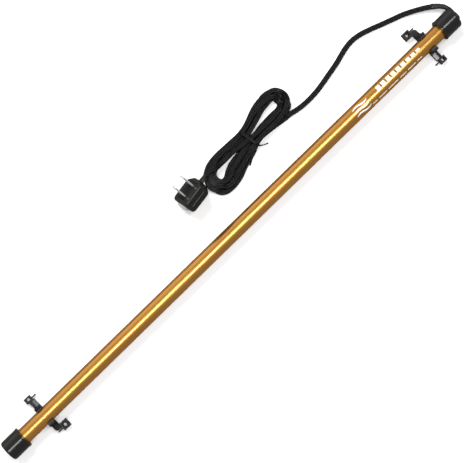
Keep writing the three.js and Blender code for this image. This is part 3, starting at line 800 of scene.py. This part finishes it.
def makePrint(setup):
    points, faces = [], []
    for x0, x1, low, high in setup["bars"]:
        steps = max(2, round((high - low) / setup["barStep"]))
        turns = [low + (high - low) * k / steps for k in range(steps + 1)]
        printPatch(points, faces, [((x0, turn), (x1, turn)) for turn in turns])
    wave = setup["waves"]
    thin, steps = wave["thinEnds"], wave["steps"]
    for middle in wave["angles"]:
        edges = []
        for k in range(steps + 1):
            x = wave["x"] + wave["length"] * (k / steps - 0.5)
            centre = middle + math.sin(2 * math.pi * k / steps) * wave["swing"]
            half = wave["width"] / 2 * (thin + (1 - thin) * math.sin(math.pi * k / steps))
            edges.append(((x, centre - half), (x, centre + half)))
        printPatch(points, faces, edges)
    mesh = meshOf("printMesh", points, faces, 60)
    addPiece("tube_print", mesh, "whitePrint", "heater")


makePrint(tubePrint)
print("print ready")

# The moulded elbow at the cap
elbow = {
    "route": [(307.2, -2.6, 9.7), (307.25, 1.5, 9.5), (307.2, 5.5, 9.3), (306.9, 10, 8.8),
              (305.4, 14.6, 8.0), (302.4, 18.6, 7.0), (298.4, 22.3, 6.0), (296.6, 23.75, 5.55)],
    "routeSpacing": 0.45,
    "across": (3.9, 6.1),       # at the cap and at the cord
    "tall": (6.8, 3.5),
    "squareness": 0.8,          # 1 is round, less is squarer
    "ends": ((0.55, 6), (0.75, 8)),         # share of the size at each end, and how fast it grows
    "ribs": 7,
    "ribSpan": (0.42, 0.93),    # share of the arm that has ribs
    "ribDepth": 0.35,
    "neckStart": 302.3,
    "neckRadius": 2.9,
    "discFoot": 305.25,
    "discStart": 305.3,
    "discEnd": 308.45,
    "discRadius": 5.2,
    "discEdges": (0.3, 1.1),    # rounding at its back and its front
    "discDrop": 1.5,            # below the tube's axis
    "centre": 0.4,              # radius that the flat ends start from
}


# How deep the groove between two ribs is, from 0 to 1, after a number of ribs that may be a fraction.
def grooveDepth(ribs):
    return (0.5 - 0.5 * math.cos(2 * math.pi * ribs)) ** 2


def elbowArm(setup):
    line = smoothLine(setup["route"], setup["routeSpacing"]) * mm
    count = len(line)
    first, last = setup["ribSpan"]
    (startSize, startGrowth), (endSize, endGrowth) = setup["ends"]

    def rounded(value):
        return math.copysign(abs(value) ** setup["squareness"], value)

    def section(k):
        share = k / (count - 1)
        across = np.interp(share, (0, 1), setup["across"])
        tall = np.interp(share, (0, 1), setup["tall"])
        if first < share < last:
            dip = setup["ribDepth"] * grooveDepth((share - first) / (last - first) * setup["ribs"])
            across -= 2 * dip
            tall -= 2 * dip
        size = min(1.0, startSize + share * count / startGrowth, endSize + (1 - share) * count / endGrowth)
        halfAcross, halfTall = across / 2 * mm * size, tall / 2 * mm * size
        return [(rounded(math.cos(t)) * halfAcross, rounded(math.sin(t)) * halfTall) for t in around(28)]

    return sweepMesh("elbowArm", line, section)


def elbowDisc(setup):
    start, end, radius, centre = (setup[key] for key in ("discStart", "discEnd", "discRadius", "centre"))
    back, front = setup["discEdges"]
    neck = [(setup["neckStart"], centre), (setup["neckStart"], setup["neckRadius"])]
    disc = [(setup["discFoot"], setup["neckRadius"])]
    disc += arc(start + back, radius - back, back, 180, 90, 3)
    disc += arc(end - front, radius - front, front, 90, 0, 5) + [(end, centre)]
    rings = []
    for outline, drop in ((neck, 0.0), (disc, setup["discDrop"])):
        for x, reach in outline:
            rings.append([(x * mm, reach * math.cos(t) * mm, axisHeight + (reach * math.sin(t) - drop) * mm)
                          for t in around(40)])
    return loft("elbowDisc", rings)


def makeElbow(setup):
    mesh = joinMeshes("elbowMesh", [elbowArm(setup), elbowDisc(setup)])
    return addPiece("cord_elbow_moulding", mesh, "capPlastic", "heater", "black_plastic", "cord_elbow")


elbowPiece = makeElbow(elbow)
print("elbow ready")

# The tie round the hank
tie = {
    "halfWidth": 11.4,      # of the bundle
    "top": 10.9,
    "bottom": 0.6,
    "topCorner": 3.0,
    "lowCorner": 3.5,
    "lowest": 0.12,
    # a thin strip with a wire bead down its middle: (along the hank, outwards)
    "strip": [(-1.2, 0.08), (-0.5, 0.176), (0.0, 0.4), (0.5, 0.176), (1.2, 0.08),
              (1.2, -0.08), (0.5, -0.16), (0.0, -0.24), (-0.5, -0.16), (-1.2, -0.08)],
    "tails": [              # (u, v, height)
        [(0, -11.6, 5.2), (1.6, -13.6, 4.2), (4.6, -16.4, 3.0), (8.6, -18.6, 2.0)],
        [(0, -11.8, 3.0), (-3.5, -13.2, 1.6), (-8, -14.0, 1.1), (-13, -15.0, 1.0), (-20, -17.0, 1.0)],
    ],
    "tailSize": (0.75, 0.42),
    "tailSpacing": 0.6,
    "tailTwist": 0.16,      # radians from one ring to the next
}


def hankPlace(u, v, z):
    x, y, _ = hankPoint(u, v, 0)
    return (x * mm, y * mm, z * mm)


def tieBand(setup):
    half, top, bottom = setup["halfWidth"], setup["top"], setup["bottom"]
    high, low = setup["topCorner"], setup["lowCorner"]
    corners = arc(half - high, top - high, high, 0, 90) + arc(high - half, top - high, high, 90, 180)
    corners += arc(low - half, bottom + low, low, 180, 270) + arc(half - low, bottom + low, low, 270, 360)
    middle = sum(z for _, z in corners) / len(corners)
    rings = []
    for v, z in corners:
        reach = math.hypot(v, z - middle)
        ring = []
        for along, rise in setup["strip"]:
            out = 1 + rise / reach
            ring.append(hankPlace(along, v * out, max(setup["lowest"], middle + (z - middle) * out)))
        rings.append(ring)
    return loft("tieBand", rings, closed=True)


def tieTail(setup, number):
    points = [hankPlace(*point) for point in setup["tails"][number]]
    line = smoothLine(points, setup["tailSpacing"] * mm)
    rolls = [k * setup["tailTwist"] + number for k in range(len(line))]
    wide, thick = setup["tailSize"]
    section = [(math.cos(t) * wide * mm, math.sin(t) * thick * mm) for t in around(10)]
    return sweepMesh("tieTail", line, section, rolls=rolls)


def makeTie(setup):
    tails = [tieTail(setup, number) for number in range(len(setup["tails"]))]
    mesh = joinMeshes("tieMesh", [tieBand(setup), *tails])
    return addPiece("hank_wire_tie", mesh, "tiePlastic", "heater", "black_plastic", "hank_tie")


tiePiece = makeTie(tie)
print("tie ready")

# The plug
plug = {
    "face": (-6.4, 60.2, 18.5),
    "heading": 8.8,
    "elevation": 36.0,
    "length": 29.0,
    "width": 26.0,
    "depth": 14.5,
    "shoulder": 4.5,        # half the width where the cord enters
    "taper": (5.2, 6.4),    # how far from the cord's end it narrows, and is full
    "noseCorner": 4.2,
    "cornerShrink": 0.6,    # a corner's radius lost for each millimetre drawn in
    "leastCorner": 0.6,
    "sideCorner": 1.6,
    "cornerOffset": (0.3, 0.2),     # of sideCorner, where the side and the shoulder are rounded
    "underside": 6.0,       # how far the flat underside is drawn in
    "edge": 2.6,
    "faceEdge": 1.7,
    "partingLine": (0.25, 0.18),    # half width, depth
    "pocket": (10.3, 6.8, 8.0),     # half sizes and depth
    "pocketEdge": 0.35,
    "pocketCorner": 0.5,
    "plateEdge": 0.3,
    "bladeEdge": 0.25,
}


def plugAxes(setup):
    heading, elevation = math.radians(setup["heading"]), math.radians(setup["elevation"])
    nose = Vector((-math.cos(heading), -math.sin(heading), 0))
    level = Vector((-math.sin(heading), math.cos(heading), 0))
    out = level * math.cos(elevation) + Vector((0, 0, math.sin(elevation)))
    turn = Matrix((nose, out.cross(nose), out)).transposed().to_4x4()
    return Matrix.Translation(Vector(setup["face"]) * mm) @ turn


plugPlace = plugAxes(plug)


def plugPoint(x, y, z):
    return tuple(plugPlace @ (Vector((x, y, z)) * mm))


# The plug's outline drawn in by inset all round, with rounded corners, from the nose's corner on.
def plugOutline(inset):
    long, wide, shoulder = plug["length"] / 2 - inset, plug["width"] / 2 - inset, plug["shoulder"]
    corner = max(plug["leastCorner"], plug["noseCorner"] - inset * plug["cornerShrink"])
    small = plug["sideCorner"]
    back, down = (small * share for share in plug["cornerOffset"])
    narrow, full = (length - long for length in plug["taper"])
    points = arc(long - corner, wide - corner, corner, 90, 0, 8)
    points += [(long, 0.0)]
    points += arc(long - corner, corner - wide, corner, 0, -90, 8)
    points += [(full, -wide)] + arc(narrow + back, small - wide, small, 270, 212, 4)
    points += arc(small - long, down - shoulder, small, 210, 180, 4)
    points += arc(small - long, shoulder - down, small, 180, 150, 4)
    points += arc(narrow + back, wide - small, small, 148, 90, 4) + [(full, wide)]
    return evenLoop(points)


def boxOutline(halfX, halfY, corner):
    points = arc(halfX - corner, halfY - corner, corner, 90, 0, 4)
    points += arc(halfX - corner, corner - halfY, corner, 0, -90, 4)
    points += arc(corner - halfX, corner - halfY, corner, 270, 180, 4)
    points += arc(corner - halfX, halfY - corner, corner, 180, 90, 4)
    return evenLoop(points)


# Angles from nothing to a quarter turn.
def quarterTurn(steps):
    return [math.pi / 2 * k / steps for k in range(steps + 1)]


def makePlugBody(setup):
    depth, edge, faceEdge = setup["depth"], setup["edge"], setup["faceEdge"]
    pocketX, pocketY, pocketDepth = setup["pocket"]
    lineHalf, lineDepth = setup["partingLine"]
    pocketEdge, pocketCorner = setup["pocketEdge"], setup["pocketCorner"]
    middle = -depth / 2
    # (height, drawn in by), from the underside up to the face
    levels = [(-depth, setup["underside"])]
    levels += [(-depth + edge * (1 - math.cos(t)), edge * (1 - math.sin(t))) for t in quarterTurn(6)]
    levels += [(middle - lineHalf, 0.0), (middle, lineDepth), (middle + lineHalf, 0.0)]
    levels += [(-faceEdge * (1 - math.sin(t)), faceEdge * (1 - math.cos(t))) for t in quarterTurn(5)]
    rings = [[plugPoint(x, y, z) for x, y in plugOutline(inset)] for z, inset in levels]
    for grow, z in ((pocketEdge, 0.0), (0.0, -pocketEdge), (0.0, -pocketDepth)):
        opening = boxOutline(pocketX + grow, pocketY + grow, pocketCorner)
        rings.append([plugPoint(x, y, z) for x, y in opening])
    mesh = loft("plugBodyMesh", rings, sharpAngle=32)
    return addPiece("plug_shell", mesh, "capPlastic", "heater", "black_plastic", "plug_body")


thumbPad = {
    "start": 14.8,          # along the plug, from its middle
    "rise": 2.2,
    "halfWidth": 8.3,
    "halfDepth": 4.7,
    "ridges": 13,
    "ridgeRise": 0.06,
    "ridgeReach": 0.02,
}


# The dome's light grey is a painted highlight on the plug's end, not a different material.
def makeThumbPad(setup):
    level = -plug["depth"] / 2
    rings = []
    for k in range(setup["ridges"]):
        turn = math.pi / 2 * k / setup["ridges"]
        side = -1 if k % 2 else 1
        x = setup["start"] + setup["rise"] * math.sin(turn) + side * setup["ridgeRise"]
        reach = math.cos(turn) - side * setup["ridgeReach"]
        wide, deep = setup["halfWidth"] * reach, setup["halfDepth"] * reach
        rings.append([plugPoint(x, wide * math.cos(t), level + deep * math.sin(t)) for t in around(40)])
    mesh = loft("thumbPadMesh", rings, sharpAngle=50)
    return addPiece("plug_thumb_grip", mesh, "paintedHighlightGrey", "heater", "grey_pad", "plug_thumb_pad")


relief = {
    "route": [(-14.8, -2, -8), (-16, -2, -8), (-17.6, -2.4, -8.1), (-19, -3, -8.4),
              (-20.8, -3.9, -8.9), (-22.5, -5, -9.4)],
    "routeSpacing": 0.3,
    "thick": (5.0, 3.3),        # at the plug and at the cord
    "wide": (7.2, 5.7),
    "ribs": 3,
    "ribDepth": 0.3,
}


def makeRelief(setup):
    line = np.array([plugPoint(*p) for p in smoothLine(setup["route"], setup["routeSpacing"])])
    out = plugPlace.to_3x3() @ Vector((0, 0, 1))

    def section(k):
        share = k / (len(line) - 1)
        dip = setup["ribDepth"] * grooveDepth(setup["ribs"] * share)
        thick = np.interp(share, (0, 1), setup["thick"]) - 2 * dip
        wide = np.interp(share, (0, 1), setup["wide"]) - 2 * dip
        return [(math.cos(t) * wide / 2 * mm, math.sin(t) * thick / 2 * mm) for t in around(28)]

    mesh = sweepMesh("reliefMesh", line, section, upright=tuple(out))
    return addPiece("plug_strain_relief", mesh, "capPlastic", "heater", "black_plastic", "plug_relief")


plugPieces = [makePlugBody(plug), makeThumbPad(thumbPad), makeRelief(relief)]
plugPieces.append(refine("plug_face_plate", "plug_face_insert", plug["plateEdge"] * mm, "bracketPlastic",
                         "heater", "black_plastic"))
for number in (1, 2):
    plugPieces.append(refine(f"plug_blade_{number}", f"plug_prong_{number}", plug["bladeEdge"] * mm, "nickel",
                             "heater", "nickel"))
print("plug ready")

# The brackets
brackets = {
    "edge": 0.35,
    "linerEdge": 0.2,
    "padEdge": 0.4,
    "padPaintedLightAndShade": {              # the two pads of each bracket as lit and shaded copies of one pad: the first in painted shade, the second painted lit
        "cord_end_bracket": ("paintedShadePadBlack", "paintedHighlightGrey"),
        "closed_end_bracket": ("paintedShadePadBlack", "greyPad"),
    },
}


def makeBracket(name, body, setup):
    edge, linerEdge, padEdge = (setup[key] * mm for key in ("edge", "linerEdge", "padEdge"))
    grip = body.replace("clip", "grip")
    refine(name, f"{name}_frame", edge, "bracketPlastic", body, "black_plastic")
    refine(f"{name}_liner", f"{name}_grip", linerEdge, "gripLiner", grip, "dark_liner", segments=2)
    # each pad gets a painted lit or a painted shaded copy of one pad finish
    for number, finish in enumerate(setup["padPaintedLightAndShade"][name], start=1):
        refine(f"{name}_pad_{number}", f"{name}_cushion_{number}", padEdge, finish, body, "grey_pad")


makeBracket("cord_end_bracket", "cord_end_clip", brackets)
makeBracket("closed_end_bracket", "closed_end_clip", brackets)
print("brackets ready")

# The parts inside the tube keep their meshes
innerFinishes = {
    "sealRubber": ["cord_end_seal", "closed_end_seal", "spacer_1", "spacer_2", "spacer_3"],
    "ringRubber": ["cord_end_o_ring", "closed_end_o_ring"],
    "glassFibre": ["element_core", "insulating_sleeve", "fuse_sleeve"],
    "resistanceWire": ["heating_coil"],
    "nickel": ["cord_end_ferrule", "closed_end_ferrule", "live_crimp", "neutral_crimp", "thermal_fuse"],
    "copper": ["live_wire", "neutral_wire", "return_wire"],
}
for finish, names in innerFinishes.items():
    for name in names:
        mesh = nodes[name].data
        mesh.materials.clear()
        mesh.materials.append(materials[finish])
        mesh.polygons.foreach_set("use_smooth", [True] * len(mesh.polygons))
        mesh.set_sharp_from_angle(angle=math.radians(crease))
print("inner parts ready")

# Floor and light
studio = {
    "floorReach": 6.0,
    "floorRoughness": 0.9,
    "floorSpecular": 0.1,
    "floor": (0.93, 0.93, 0.93),
    "floorPaintedDarkInReflections": (0.20, 0.18, 0.16),     # the floor painted darker where shiny pieces mirror it, a painted shade in their reflections
    "world": (1.0, 1.0, 1.0),
    "worldStrength": 0.34,
    "backdrop": 0.95,                       # the world as the camera sees it
    "shineLow": 0.30,                       # what shiny pieces mirror from -Y
    "shineHigh": 1.15,                      # and from +Y
    "shineSharpness": 7.0,
    # name: (place, aim, width, length, watts, mirrored by shiny pieces); every one is a soft panel
    "panels": {
        "keyPanel": ((0.15, 1.25, 1.40), (0.0, 0.0, 0.0), 0.9, 0.9, 40.0, False),
        "streakPanel": ((0.0, -0.04, 1.30), (0.0, 0.0, 0.0), 1.7, 0.22, 15.0, True),
    },
}


def makeFloor(setup):
    far = setup["floorReach"]
    corners = [(-far, -far, 0), (far, -far, 0), (far, far, 0), (-far, far, 0)]
    mesh = meshOf("floorMesh", corners, [(0, 1, 2, 3)])
    floor = bpy.data.objects.new("studioFloor", mesh)
    bpy.context.scene.collection.objects.link(floor)
    material = bpy.data.materials.new("studioFloor")
    material.use_nodes = True
    tree = material.node_tree
    shader = tree.nodes["Principled BSDF"]
    shader.inputs["Roughness"].default_value = setup["floorRoughness"]
    shader.inputs["Specular IOR Level"].default_value = setup["floorSpecular"]
    # painted shade: glossy rays see the floor painted dark, so the reflections of it in shiny pieces are
    # shaded
    mirrored = tree.nodes.new("ShaderNodeLightPath").outputs["Is Glossy Ray"]
    colour = mixColours(tree, mirrored, setup["floor"], setup["floorPaintedDarkInReflections"])
    tree.links.new(colour, shader.inputs["Base Color"])
    mesh.materials.append(material)


def makeWorld(setup):
    world = bpy.data.worlds.new("studioWorld")
    world.use_nodes = True
    tree = world.node_tree
    sky = tree.nodes["Background"]
    sky.inputs["Color"].default_value = (*setup["world"], 1.0)
    split = tree.nodes.new("ShaderNodeSeparateXYZ")
    tree.links.new(tree.nodes.new("ShaderNodeTexCoord").outputs["Generated"], split.inputs[0])
    low, high, plain = setup["shineLow"], setup["shineHigh"], setup["worldStrength"]
    side = addMath(tree, "MULTIPLY_ADD", split.outputs["Y"], 0.5, 0.5)      # 0 at -Y, 1 at +Y
    sharp = addMath(tree, "POWER", side, setup["shineSharpness"])
    shine = addMath(tree, "MULTIPLY_ADD", sharp, high - low, low - plain)
    ray = tree.nodes.new("ShaderNodeLightPath").outputs
    seen = addMath(tree, "MULTIPLY", ray["Is Camera Ray"], setup["backdrop"] - plain)
    mirrored = addMath(tree, "MULTIPLY", shine, ray["Is Glossy Ray"])
    strength = addMath(tree, "ADD", addMath(tree, "ADD", mirrored, seen), plain)
    tree.links.new(strength, sky.inputs["Strength"])
    bpy.context.scene.world = world


def makePanel(name, place, aim, wide, long, watts, mirrored):
    data = bpy.data.lights.new(name, "AREA")
    data.shape = "RECTANGLE"
    data.size, data.size_y, data.energy = wide, long, watts
    panel = bpy.data.objects.new(name, data)
    bpy.context.scene.collection.objects.link(panel)
    panel.location = place
    panel.rotation_mode = "QUATERNION"
    panel.rotation_quaternion = (Vector(aim) - Vector(place)).to_track_quat("-Z", "Y")
    panel.visible_camera = False
    panel.visible_glossy = mirrored


makeFloor(studio)
makeWorld(studio)
for name, values in studio["panels"].items():
    makePanel(name, *values)
print("studio ready")
